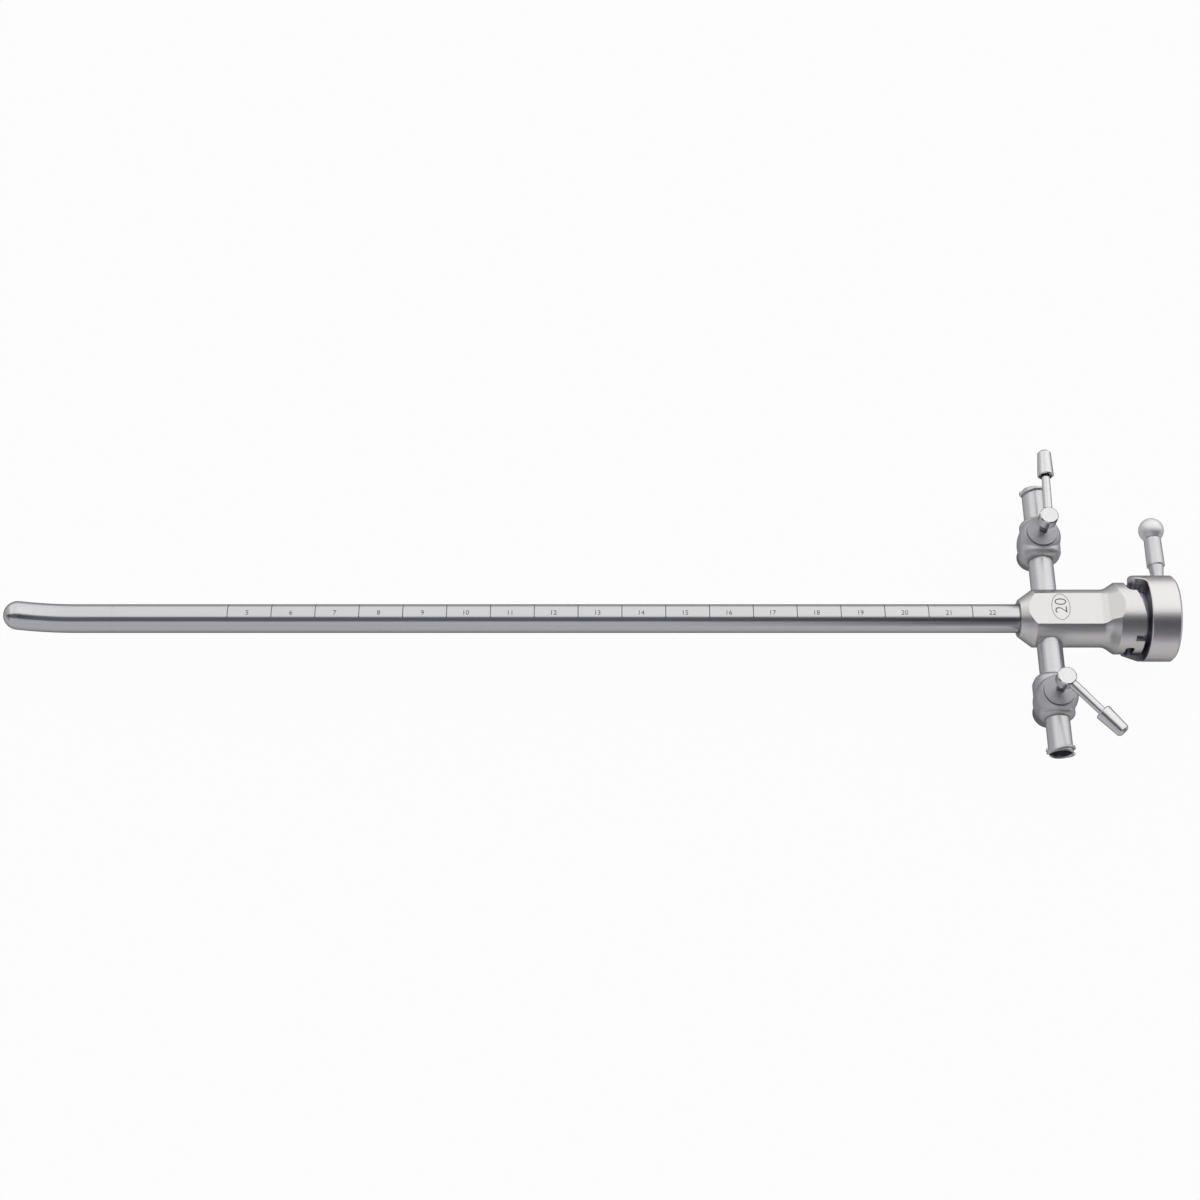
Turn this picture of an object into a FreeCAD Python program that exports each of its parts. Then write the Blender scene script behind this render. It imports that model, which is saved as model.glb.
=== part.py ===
import FreeCAD
import Part
import math
import os

# Cystoscope sheath: a rigid steel tube with a closed bent beak, brazed into a hub that carries
# two plug stopcocks and a bayonet lock ring with a ball-ended lever.
# Millimetres. The origin is the centre of the instrument socket's mouth.
# X runs along the sheath towards the user, Y along the two stopcock arms, Z up, the lever side.
# An angle round the sheath is counted from +Y towards +Z.

Vector = FreeCAD.Vector
X_AXIS = Vector(1, 0, 0)
Y_AXIS = Vector(0, 1, 0)
Z_AXIS = Vector(0, 0, 1)
CENTRE = Vector(0, 0, 0)

# Clearances
running_clearance = 0.03
journal_clearance = 0.05
lug_clearance = 0.10
head_clearance = 0.1
overcut = 1.0

# Sheath tube
tube_outer_r = 3.3
tube_wall = 0.35
tube_shown_length = 232.25
tube_seat_depth = 4.2

# Beak, bent towards the lever side, with its window on the underside
beak_length = 25.0
beak_bend_r = 50.0
beak_bend_angle = 15.0
beak_nose_wall = 1.6
window_width = 3.9
window_length = 15.0
window_from_tip = 5.0

# Lock ring
ring_outer_r = 9.9
ring_band_length = 6.85
ring_overhang = 1.25
ring_rear_chamfer = 0.5
ring_recess_r = 8.1
ring_end_float = 0.05
ring_groove_r = 7.4
ring_groove_width = 1.6
ring_groove_behind_recess = 0.8
lug_reach = 3.4
lug_start_angle = 20.0
lug_end_angle = 46.0
lug_nose_r = 1.5
lug_corner_fillet = 1.5
lug_edge_fillet = 0.3
lug_root_fillet = 1.8
long_nose_r = 8.7
long_nose_extra = 0.9
long_nose_slope_length = 3.6
ring_turn_back = 10.0
ring_turn_on = 16.6

# Lock lever: stem, grip sleeve and ball, standing at angle 0
stem_behind_front = 5.0
stem_root_depth = 1.3
stem_root_r = 1.2
neck_bottom_r = 1.31
neck_top_r = 1.75
neck_length = 3.45
grip_bottom_r = 2.06
grip_top_r = 1.98
grip_length = 7.2
grip_chamfer = 0.18
ball_r = 2.93
ball_seat_depth = 1.6

# Socket sleeve, the journal that the lock ring turns on
socket_r = 5.5
sleeve_outer_r = 6.6
sleeve_seat_depth = 5.8
sleeve_mouth_chamfer = 0.3
key_slot_width = 2.4
key_slot_length = 5.0
key_slot_angles = (90.0, 270.0)

# Retaining nut and friction ring behind the lock ring
retainer_inner_r = 6.2
retainer_outer_r = 7.9
retainer_thickness = 1.5
retainer_notch_r = 7.3
friction_ring_thickness = 0.5

# Hub
rim_gap = 0.8
collar_r = 8.25
collar_length = 5.6
flare_length = 2.4
flare_fillet = 3.0
waist_r = 6.66
waist_length = 16.3
nose_cone_length = 3.25
nose_r = 4.3
nose_edge_fillet = 0.3
flat_height = 5.45
flat_runout_r = 3.0
flat_runout_before_flare = 1.6
flat_runout_slope = 35.0
chamber_r = 4.4
seat_cone_length = 2.5

# Openings in the hub's rear collar, one set on each side
gate_margin_back = 1.0
gate_margin_on = 0.6
gate_depth = 3.55
gate_corner_fillet = 1.4
notch_sweep = 20.0
notch_width = 2.0
notch_from_gate_floor = 0.35
ramp_sweep = 47.0
ramp_depth = 1.5
rim_slot_angle = 148.0
rim_slot_width = 1.7
rim_slot_length = 2.1

# Stopcock arms
arm_behind_nose = 6.65
inlet_outer_r = 2.88
flow_r = 2.0
inlet_seat_depth = 1.6
cock_distance = 20.0
outlet_end_distance = 33.5
outlet_outer_r = 2.75
outlet_bore_r = 2.4
outlet_bore_depth = 8.55
outlet_mouth_chamfer = 0.4
flange_outer_r = 3.3
flange_thickness = 0.6
flange_edge_fillet = 0.2
flange_tilt = 10.0
flange_setback = 0.85
barrel_seat_depth = 1.2

# Stopcock barrel and plug
barrel_r = 4.8
barrel_top = 4.7
barrel_bottom = 4.9
barrel_shoulder_r = 3.78
barrel_shoulder_height = 3.0
barrel_foot_r = 4.0
barrel_foot_height = 4.6
inlet_cheek_half_width = 4.7
inlet_cheek_top = 4.5
inlet_cheek_bottom = 4.4
inlet_cheek_corner_r = 3.7
inlet_cheek_end_fillet = 1.9
inlet_cheek_reach = 5.35
outlet_cheek_r = 4.1
outlet_cheek_reach = 5.0
outlet_cheek_end_fillet = 1.4
plug_top_r = 3.32
plug_bottom_r = 2.82
plug_bore_r = 1.9
plug_end_gap = 0.3
head_r = 3.6
head_thickness = 0.45
head_chamfer = 0.1
head_crown = 0.5
plug_stem_r = 1.2
spring_washer_r = 3.1
spring_washer_thickness = 0.3
spring_washer_dish = 0.3
cap_r = 3.45
cap_height = 4.7
cap_dome = 0.8
cap_gap = 0.1
cap_recess_r = 3.15
cap_floor = 0.6

# Stopcock lever
lever_spigot_r = 1.0
lever_spigot_depth = 1.2
lever_foot_r = 1.05
lever_neck_r = 0.85
lever_neck_top_r = 1.1
lever_boss_undercut = 0.9
lever_neck_length = 4.35
lever_boss_r = 2.15
lever_boss_height = 3.0
lever_boss_chamfer = 0.25
rod_root_r = 1.05
rod_below_face = 0.12
rod_end_r = 0.92
rod_length = 12.6
lever_grip_start = 10.7
lever_grip_end = 17.2
lever_grip_near_r = 1.88
lever_grip_far_r = 1.55
lever_grip_recess_r = 1.45
lever_grip_recess_depth = 0.9
lever_grip_nose = 0.45
lever_rest_angles = {"right": -2.0, "left": 41.0}
arm_signs = {"right": 1, "left": -1}

# Stations along the sheath, worked out from the socket's mouth forwards
ring_rear_x = ring_overhang
ring_front_x = ring_rear_x - ring_band_length
ring_recess_x = -retainer_thickness - friction_ring_thickness - ring_end_float
rim_x = ring_front_x - rim_gap
collar_front_x = rim_x - collar_length
waist_rear_x = collar_front_x - flare_length
waist_front_x = waist_rear_x - waist_length
nose_x = waist_front_x - nose_cone_length
tube_rear_x = nose_x + tube_seat_depth
tip_x = nose_x - tube_shown_length
beak_rear_x = tip_x + beak_length
beak_end_x = tip_x + tube_outer_r
beak_bend_x = beak_end_x + beak_bend_r * math.sin(math.radians(beak_bend_angle))
beak_end_z = beak_bend_r * (1 - math.cos(math.radians(beak_bend_angle)))
sleeve_front_x = rim_x - sleeve_seat_depth
chamber_rear_x = sleeve_front_x - seat_cone_length
retainer_front_x = -retainer_thickness
arm_x = nose_x + arm_behind_nose
stem_x = ring_front_x + stem_behind_front
tube_bore_r = tube_outer_r - tube_wall

# Angles of the openings in the collar, from the lugs' travel
gate_start_angle = lug_start_angle - ring_turn_back - gate_margin_back
gate_end_angle = lug_end_angle + ring_turn_on + gate_margin_on
gate_floor_x = rim_x - gate_depth
lug_nose_x = ring_front_x - lug_reach


def turned(points, axis="X"):
    """A solid of revolution from (station, radius) points, closed along its own axis line."""
    if axis == "X":
        corners = [Vector(station, radius, 0) for station, radius in points]
        spin = X_AXIS
    else:
        corners = [Vector(radius, 0, station) for station, radius in points]
        spin = Z_AXIS
    face = Part.Face(Part.makePolygon(corners + corners[:1]))
    return face.revolve(CENTRE, spin, 360)


def rod_along(axis, radius, start, end, place=CENTRE):
    """A cylinder along an axis, between two distances from a point."""
    return Part.makeCylinder(radius, end - start, place + axis * start, axis)


def sector(inner_r, outer_r, x_from, x_to, angle_from, angle_to):
    """A block of a ring round the sheath between two stations and two angles."""
    corners = [
        Vector(x_from, inner_r, 0),
        Vector(x_to, inner_r, 0),
        Vector(x_to, outer_r, 0),
        Vector(x_from, outer_r, 0),
    ]
    face = Part.Face(Part.makePolygon(corners + corners[:1]))
    block = face.revolve(CENTRE, X_AXIS, angle_to - angle_from)
    block.rotate(CENTRE, X_AXIS, angle_from)
    return block


def radial(angle, radius, x):
    """The point at an angle and a radius round the sheath."""
    turn = math.radians(angle)
    return Vector(x, radius * math.cos(turn), radius * math.sin(turn))


def edges_near(shape, points, reach=0.02):
    """The shape's edges that pass within a short reach of any of the points."""
    found = []
    for edge in shape.Edges:
        if any(edge.distToShape(Part.Vertex(point))[0] < reach for point in points):
            found.append(edge)
    return found


def both_sides(tool):
    """A tool and its copy half a turn round the sheath."""
    other = tool.copy()
    other.rotate(CENTRE, X_AXIS, 180)
    return [tool, other]


def key_slots(outer_r, x_from, x_to):
    """Slots that let an instrument's two lock pins pass along the sheath."""
    slots = []
    for angle in key_slot_angles:
        slot = Part.makeBox(x_to - x_from, outer_r, key_slot_width)
        slot.translate(Vector(x_from, 0, -key_slot_width / 2))
        slot.rotate(CENTRE, X_AXIS, angle)
        slots.append(slot.common(rod_along(X_AXIS, outer_r, x_from, x_to)))
    return slots


def placed_on_arm(shape, side):
    """A stopcock piece, made round the Z axis, carried out to its place on an arm."""
    moved = shape.copy()
    moved.translate(Vector(arm_x, arm_signs[side] * cock_distance, 0))
    return moved


def turned_to_lever(shape, side):
    """A plug or lever piece, made with its lever along +Y, turned to where its lever points."""
    moved = shape.copy()
    heading = 0 if side == "right" else 180
    moved.rotate(CENTRE, Z_AXIS, heading + lever_rest_angles[side])
    return placed_on_arm(moved, side)


# Tube and beak


def make_sheath_tube():
    return turned(
        [
            (beak_rear_x, tube_bore_r),
            (tube_rear_x, tube_bore_r),
            (tube_rear_x, tube_outer_r),
            (beak_rear_x, tube_outer_r),
        ]
    )


def bent_rod(radius, rear_x):
    """A round bar along the beak's centre line, from a rear station to the end of the bend."""
    centre_z = beak_bend_r
    half = math.radians(beak_bend_angle / 2)
    middle = Vector(
        beak_bend_x - beak_bend_r * math.sin(half), 0, centre_z - beak_bend_r * math.cos(half)
    )
    bend_start = Vector(beak_bend_x, 0, 0)
    bend_end = Vector(beak_end_x, 0, beak_end_z)
    straight = rod_along(X_AXIS, radius, beak_bend_x, rear_x)
    arc = Part.Wire([Part.Arc(bend_start, middle, bend_end).toShape()])
    ring = Part.Wire([Part.Circle(bend_start, X_AXIS, radius).toShape()])
    curved = arc.makePipeShell([ring], True, False)
    return straight.fuse(curved)


def window_cutter():
    """A slot with round ends, upright through the beak's underside."""
    half = window_width / 2
    near = tip_x + window_from_tip + half
    far = tip_x + window_from_tip + window_length - half
    bar = Part.makeBox(far - near, window_width, 2 * tube_outer_r)
    bar.translate(Vector(near, -half, -2 * tube_outer_r))
    ends = [
        Part.makeCylinder(half, 2 * tube_outer_r, Vector(x, 0, -2 * tube_outer_r), Z_AXIS)
        for x in (near, far)
    ]
    return bar.fuse(ends)


def make_beak():
    nose_centre = Vector(beak_end_x, 0, beak_end_z)
    outside = bent_rod(tube_outer_r, beak_rear_x).fuse(Part.makeSphere(tube_outer_r, nose_centre))
    inside = bent_rod(tube_bore_r, beak_rear_x + overcut)
    nose_block = Part.makeSphere(tube_outer_r + beak_nose_wall, nose_centre)
    return outside.cut(inside.cut(nose_block)).cut(window_cutter()).removeSplitter()


# Hub


def hub_blank():
    blank = turned(
        [
            (nose_x, 0),
            (nose_x, nose_r),
            (waist_front_x, waist_r),
            (waist_rear_x, waist_r),
            (collar_front_x, collar_r),
            (rim_x, collar_r),
            (rim_x, 0),
        ]
    )
    nose_edge = edges_near(blank, [radial(90, nose_r, nose_x)])
    blank = blank.makeFillet(nose_edge_fillet, nose_edge)
    flare_edge = edges_near(blank, [radial(90, waist_r, waist_rear_x)])
    return blank.makeFillet(flare_fillet, flare_edge)


def flat_cutter():
    """What milling takes off to leave a flat, with its end curving up and out at a slope."""
    slope = math.radians(flat_runout_slope)
    start_x = waist_rear_x - flat_runout_before_flare
    centre_z = flat_height + flat_runout_r
    top_z = collar_r + 2 * overcut
    front_x = nose_x - overcut

    def on_arc(angle):
        return Vector(
            start_x + flat_runout_r * math.sin(angle), 0, centre_z - flat_runout_r * math.cos(angle)
        )

    arc_end = on_arc(slope)
    slope_end = Vector(arc_end.x + (top_z - arc_end.z) / math.tan(slope), 0, top_z)
    edges = [
        Part.makeLine(Vector(front_x, 0, flat_height), on_arc(0)),
        Part.Arc(on_arc(0), on_arc(slope / 2), arc_end).toShape(),
        Part.makeLine(arc_end, slope_end),
        Part.makeLine(slope_end, Vector(front_x, 0, top_z)),
        Part.makeLine(Vector(front_x, 0, top_z), Vector(front_x, 0, flat_height)),
    ]
    half_width = collar_r + overcut
    face = Part.Face(Part.Wire(edges))
    face.translate(Vector(0, -half_width, 0))
    return face.extrude(Vector(0, 2 * half_width, 0))


def hub_passage():
    """The stepped passage through the hub: tube seat, flow chamber, seat cone, sleeve seat."""
    return turned(
        [
            (nose_x - overcut, 0),
            (nose_x - overcut, tube_outer_r),
            (tube_rear_x, tube_outer_r),
            (tube_rear_x, chamber_r),
            (chamber_rear_x, chamber_r),
            (sleeve_front_x, socket_r),
            (sleeve_front_x, sleeve_outer_r),
            (rim_x + overcut, sleeve_outer_r),
            (rim_x + overcut, 0),
        ]
    )


def collar_cutters():
    """The gate each lug travels in, its side notch, its ramp and the short rim slot."""
    inner = sleeve_outer_r - overcut
    outer = collar_r + overcut
    rear = rim_x + overcut
    gate = sector(inner, outer, gate_floor_x, rear, gate_start_angle, gate_end_angle)
    middle_r = (inner + outer) / 2
    corner = radial(gate_end_angle, middle_r, gate_floor_x)
    gate = gate.makeFillet(gate_corner_fillet, edges_near(gate, [corner]))
    notch_x = gate_floor_x - notch_from_gate_floor
    notch = sector(
        inner,
        outer,
        notch_x,
        notch_x + notch_width,
        gate_start_angle - notch_sweep,
        gate_start_angle + notch_sweep / 2,
    )
    notch_corners = [
        radial(gate_start_angle - notch_sweep, middle_r, notch_x),
        radial(gate_start_angle - notch_sweep, middle_r, notch_x + notch_width),
    ]
    notch = notch.makeFillet(notch_width * 0.3, edges_near(notch, notch_corners))
    slot = Part.makeBox(rim_slot_length + overcut, outer, rim_slot_width)
    slot.translate(Vector(rim_x - rim_slot_length, 0, -rim_slot_width / 2))
    slot.rotate(CENTRE, X_AXIS, rim_slot_angle)
    tools = []
    for tool in (gate, notch, ramp_cutter(inner, outer), slot):
        tools += both_sides(tool)
    return tools


def ramp_cutter(inner, outer):
    """The sloping cut that runs from the gate back up to the rim."""
    middle_angle = gate_end_angle + ramp_sweep / 2
    half_chord = collar_r * math.sin(math.radians(ramp_sweep / 2))
    slope = math.degrees(math.atan2(ramp_depth, 2 * half_chord))
    reach = 2 * outer
    wedge = Part.makeBox(reach, outer, 2 * reach)
    wedge.translate(Vector(0, 0, -reach))
    wedge.rotate(CENTRE, Y_AXIS, slope)
    wedge.translate(Vector(rim_x - ramp_depth / 2, 0, 0))
    wedge.rotate(CENTRE, X_AXIS, middle_angle)
    span = sector(
        inner,
        outer,
        rim_x - 2 * ramp_depth,
        rim_x + overcut,
        gate_end_angle - ramp_sweep / 10,
        gate_end_angle + ramp_sweep,
    )
    return wedge.common(span)


def arm_holes(sign):
    """The seat of an inlet tube in the hub and the flow hole behind it."""
    side = Y_AXIS * sign
    place = Vector(arm_x, 0, 0)
    seat = rod_along(side, inlet_outer_r, waist_r - inlet_seat_depth, waist_r + overcut, place)
    flow = rod_along(side, flow_r, 0, waist_r, place)
    return [seat, flow]


def make_hub():
    hub = hub_blank()
    upper_flat = flat_cutter()
    lower_flat = upper_flat.copy()
    lower_flat.rotate(CENTRE, X_AXIS, 180)
    hub = hub.cut([upper_flat, lower_flat, hub_passage()])
    hub = hub.cut(arm_holes(1) + arm_holes(-1))
    return hub.cut(collar_cutters())


# Socket sleeve, retaining nut and friction ring


def make_socket_sleeve():
    sleeve = turned(
        [
            (sleeve_front_x, socket_r),
            (-sleeve_mouth_chamfer, socket_r),
            (0, socket_r + sleeve_mouth_chamfer),
            (0, retainer_inner_r),
            (retainer_front_x, retainer_inner_r),
            (retainer_front_x, sleeve_outer_r),
            (sleeve_front_x, sleeve_outer_r),
        ]
    )
    return sleeve.cut(key_slots(sleeve_outer_r + overcut, -key_slot_length, overcut))


def make_retainer():
    nut = turned(
        [
            (retainer_front_x, retainer_inner_r),
            (0, retainer_inner_r),
            (0, retainer_outer_r),
            (retainer_front_x, retainer_outer_r),
        ]
    )
    return nut.cut(key_slots(retainer_notch_r, retainer_front_x - overcut, overcut))


def make_friction_ring():
    front = retainer_front_x - friction_ring_thickness
    ring = turned(
        [
            (front, sleeve_outer_r),
            (retainer_front_x, sleeve_outer_r),
            (retainer_front_x, retainer_outer_r),
            (front, retainer_outer_r),
        ]
    )
    slots = key_slots(retainer_notch_r, front - overcut, overcut)
    return ring.cut(slots)


# Lock ring and its lever


def ring_band():
    journal_r = sleeve_outer_r + journal_clearance
    return turned(
        [
            (ring_front_x, journal_r),
            (ring_recess_x, journal_r),
            (ring_recess_x, ring_recess_r),
            (ring_rear_x, ring_recess_r),
            (ring_rear_x, ring_outer_r - ring_rear_chamfer),
            (ring_rear_x - ring_rear_chamfer, ring_outer_r),
            (ring_front_x, ring_outer_r),
        ]
    )


def ring_lug(extra=0.0):
    """A lug that reaches forward from the band into a gate of the hub's collar."""
    inner = sleeve_outer_r + lug_clearance
    nose_x = lug_nose_x - extra
    root_x = ring_front_x + overcut
    lug = sector(inner, ring_outer_r, nose_x, root_x, lug_start_angle, lug_end_angle)
    middle_r = (inner + ring_outer_r) / 2
    corners = [radial(angle, middle_r, nose_x) for angle in (lug_start_angle, lug_end_angle)]
    return lug.makeFillet(lug_corner_fillet, edges_near(lug, corners))


def nose_cutter(extra=0.0):
    """Takes off what lies outside a lug's round nose."""
    inner = sleeve_outer_r + lug_clearance
    nose_x = lug_nose_x - extra
    middle_angle = (lug_start_angle + lug_end_angle) / 2
    sweep = lug_end_angle - lug_start_angle
    tongue = sector(
        inner,
        ring_outer_r,
        nose_x,
        nose_x + lug_reach,
        middle_angle - sweep,
        middle_angle + sweep,
    )
    nose_edges = [radial(middle_angle, radius, nose_x) for radius in (inner, ring_outer_r)]
    tongue = tongue.makeFillet(lug_nose_r, edges_near(tongue, nose_edges))
    block = sector(
        inner - overcut,
        ring_outer_r + overcut,
        nose_x - overcut,
        nose_x + lug_nose_r,
        lug_start_angle - overcut,
        lug_end_angle + overcut,
    )
    return block.cut(tongue)


def long_nose_cutter():
    """Takes the lug opposite the lever down to a long sloping nose."""
    nose_x = lug_nose_x - long_nose_extra
    slope_end_x = nose_x + long_nose_slope_length
    outer = ring_outer_r + overcut
    slope = (ring_outer_r - long_nose_r) / long_nose_slope_length
    profile = [
        Vector(nose_x - overcut, long_nose_r - slope * overcut, 0),
        Vector(slope_end_x, ring_outer_r, 0),
        Vector(slope_end_x, outer, 0),
        Vector(nose_x - overcut, outer, 0),
    ]
    face = Part.Face(Part.makePolygon(profile + profile[:1]))
    sweep = lug_end_angle - lug_start_angle + 2 * overcut
    block = face.revolve(CENTRE, X_AXIS, sweep)
    block.rotate(CENTRE, X_AXIS, lug_start_angle - overcut)
    return block


def bayonet_cutters():
    """The groove that holds the instrument's lock pins and the two ways into it."""
    journal_r = sleeve_outer_r + journal_clearance
    groove_rear_x = ring_recess_x - ring_groove_behind_recess
    groove_front_x = groove_rear_x - ring_groove_width
    groove = turned(
        [
            (groove_front_x, journal_r - overcut),
            (groove_rear_x, journal_r - overcut),
            (groove_rear_x, ring_groove_r),
            (groove_front_x, ring_groove_r),
        ]
    )
    return [groove] + key_slots(ring_groove_r, groove_front_x, ring_recess_x + overcut)


def rounded_front(ring):
    """Rounds the corners where the lugs rise from the band, then the whole front outer edge."""
    middle_r = (sleeve_outer_r + ring_outer_r) / 2
    roots = [radial(lug_end_angle + turn, middle_r, ring_front_x) for turn in (0, 180)]
    ring = ring.makeFillet(lug_root_fillet, edges_near(ring, roots))
    front = []
    for edge in ring.Edges:
        points = edge.discretize(5)
        on_outside = min(math.hypot(point.y, point.z) for point in points) > ring_outer_r - 0.02
        if on_outside and max(point.x for point in points) < ring_front_x + 0.02:
            front.append(edge)
    return ring.makeFillet(lug_edge_fillet, front)


def make_lock_ring():
    far_lug = ring_lug(long_nose_extra)
    far_lug.rotate(CENTRE, X_AXIS, 180)
    ring = rounded_front(ring_band().fuse([ring_lug(), far_lug]).removeSplitter())
    far_cutters = [nose_cutter(long_nose_extra), long_nose_cutter()]
    for cutter in far_cutters:
        cutter.rotate(CENTRE, X_AXIS, 180)
    stem_hole = rod_along(
        Y_AXIS,
        stem_root_r,
        ring_outer_r - stem_root_depth,
        ring_outer_r + overcut,
        Vector(stem_x, 0, 0),
    )
    return ring.cut(bayonet_cutters() + far_cutters + [nose_cutter(), stem_hole])


def upright_on_ring(shape):
    """A lock lever piece, made round the Z axis, laid along the lever's own direction, +Y."""
    moved = shape.copy()
    moved.rotate(CENTRE, X_AXIS, -90)
    moved.translate(Vector(stem_x, 0, 0))
    return moved


neck_top = ring_outer_r + neck_length
grip_top = neck_top + grip_length
ball_flat = math.sqrt(ball_r**2 - (grip_top_r - grip_chamfer) ** 2)
ball_centre = grip_top + ball_flat


def make_lock_stem():
    root = ring_outer_r - stem_root_depth
    shoulder = math.sqrt(ring_outer_r**2 - neck_bottom_r**2)
    stem = turned(
        [
            (root, 0),
            (root, stem_root_r),
            (shoulder, stem_root_r),
            (shoulder, neck_bottom_r),
            (neck_top, neck_top_r),
            (neck_top, stem_root_r),
            (grip_top + ball_seat_depth, stem_root_r),
            (grip_top + ball_seat_depth, 0),
        ],
        axis="Z",
    )
    ring_body = rod_along(X_AXIS, ring_outer_r, ring_front_x, ring_rear_x)
    hole = rod_along(
        Y_AXIS, stem_root_r, root, ring_outer_r + overcut, Vector(stem_x, 0, 0)
    )
    return upright_on_ring(stem).cut(ring_body.cut(hole))


def make_lock_grip():
    return upright_on_ring(
        turned(
            [
                (neck_top, stem_root_r),
                (neck_top, grip_bottom_r - grip_chamfer),
                (neck_top + grip_chamfer, grip_bottom_r),
                (grip_top - grip_chamfer, grip_top_r),
                (grip_top, grip_top_r - grip_chamfer),
                (grip_top, stem_root_r),
            ],
            axis="Z",
        )
    )


def make_lock_ball():
    ball = Part.makeSphere(ball_r, Vector(0, 0, ball_centre))
    below = Part.makeBox(4 * ball_r, 4 * ball_r, 2 * ball_r)
    below.translate(Vector(-2 * ball_r, -2 * ball_r, grip_top - 2 * ball_r))
    seat = rod_along(Z_AXIS, stem_root_r, grip_top - overcut, grip_top + ball_seat_depth)
    return upright_on_ring(ball.cut([below, seat]))


# Stopcocks


def plug_radius(z, clearance=0.0):
    """The cock's taper: the plug's radius at a height, or the barrel's with a clearance."""
    share = (z + barrel_bottom) / (barrel_top + barrel_bottom)
    return plug_bottom_r + share * (plug_top_r - plug_bottom_r) + clearance


inlet_inner_end = waist_r - inlet_seat_depth
inlet_outer_end = cock_distance - barrel_r + barrel_seat_depth
outlet_inner_end = cock_distance + barrel_r - barrel_seat_depth
plug_bottom_z = -barrel_bottom + plug_end_gap
head_bottom = barrel_top + head_clearance
head_rim_top = head_bottom + head_thickness
head_top = head_rim_top + head_crown
washer_top = -barrel_bottom
washer_bottom = washer_top - spring_washer_thickness - spring_washer_dish
cap_top = washer_top - cap_gap
cap_bottom = cap_top - cap_height
boss_bottom = head_top + lever_neck_length
boss_top = boss_bottom + lever_boss_height
rod_height = boss_top - rod_root_r - rod_below_face


def make_inlet_tube(side):
    axis = Y_AXIS * arm_signs[side]
    place = Vector(arm_x, 0, 0)
    body = rod_along(axis, inlet_outer_r, inlet_inner_end, inlet_outer_end, place)
    return body.cut(rod_along(axis, flow_r, 0, cock_distance, place))


def turned_arc(foot_r, foot_z, side_r, side_z):
    """The arc from a point on an end face that runs out level with the barrel's straight side."""
    inset = side_r - foot_r
    rise = side_z - foot_z
    arc_r = (inset**2 + rise**2) / (2 * inset)
    half = math.asin(abs(rise) / arc_r) / 2
    middle_r = side_r - arc_r * (1 - math.cos(half))
    middle_z = side_z - math.copysign(arc_r * math.sin(half), rise)
    foot = Vector(foot_r, 0, foot_z)
    side = Vector(side_r, 0, side_z)
    return Part.Arc(foot, Vector(middle_r, 0, middle_z), side).toShape()


def inlet_cheek():
    """The barrel's broad cheek on the hub's side, with well-rounded corners."""
    width = 2 * inlet_cheek_half_width
    cheek = Part.makeBox(width, inlet_cheek_reach, inlet_cheek_top + inlet_cheek_bottom)
    cheek.translate(Vector(-inlet_cheek_half_width, -inlet_cheek_reach, -inlet_cheek_bottom))
    long_corners = [
        Vector(x, -inlet_cheek_reach / 2, z)
        for x in (-inlet_cheek_half_width, inlet_cheek_half_width)
        for z in (-inlet_cheek_bottom, inlet_cheek_top)
    ]
    cheek = cheek.makeFillet(inlet_cheek_corner_r, edges_near(cheek, long_corners))
    end = [edge for edge in cheek.Edges if edge.BoundBox.YMax < 0.02 - inlet_cheek_reach]
    return cheek.makeFillet(inlet_cheek_end_fillet, end)


def outlet_cheek():
    """The barrel's round cheek on the outlet's side."""
    cheek = rod_along(Y_AXIS, outlet_cheek_r, 0, outlet_cheek_reach)
    end = Vector(outlet_cheek_r, outlet_cheek_reach, 0)
    return cheek.makeFillet(outlet_cheek_end_fillet, edges_near(cheek, [end]))


def barrel_blank():
    """The barrel's outside: a turned body with round shoulders and two cheeks for the tubes."""
    shoulder_z = barrel_top - barrel_shoulder_height
    foot_z = -barrel_bottom + barrel_foot_height
    edges = [
        turned_arc(barrel_shoulder_r, barrel_top, barrel_r, shoulder_z),
        Part.makeLine(Vector(barrel_r, 0, shoulder_z), Vector(barrel_r, 0, foot_z)),
        turned_arc(barrel_foot_r, -barrel_bottom, barrel_r, foot_z),
        Part.makeLine(Vector(barrel_foot_r, 0, -barrel_bottom), Vector(0, 0, -barrel_bottom)),
        Part.makeLine(Vector(0, 0, -barrel_bottom), Vector(0, 0, barrel_top)),
        Part.makeLine(Vector(0, 0, barrel_top), Vector(barrel_shoulder_r, 0, barrel_top)),
    ]
    profile = Part.Face(Part.Wire(Part.__sortEdges__(edges)))
    body = profile.revolve(CENTRE, Z_AXIS, 360)
    return body.fuse([inlet_cheek(), outlet_cheek()])


def make_barrel(side):
    barrel = barrel_blank()
    if side == "left":
        barrel.rotate(CENTRE, Z_AXIS, 180)
    taper = turned(
        [
            (-barrel_bottom - overcut, 0),
            (-barrel_bottom - overcut, plug_radius(-barrel_bottom - overcut, running_clearance)),
            (barrel_top + overcut, plug_radius(barrel_top + overcut, running_clearance)),
            (barrel_top + overcut, 0),
        ],
        axis="Z",
    )
    outward = Y_AXIS * arm_signs[side]
    seat_start = barrel_r - barrel_seat_depth
    inlet_seat = rod_along(outward * -1, inlet_outer_r, seat_start, barrel_r + overcut)
    outlet_seat = rod_along(outward, outlet_outer_r, seat_start, barrel_r + overcut)
    flow = rod_along(outward, flow_r, -barrel_r, barrel_r)
    return placed_on_arm(barrel.cut([taper, inlet_seat, outlet_seat, flow]), side)


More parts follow.
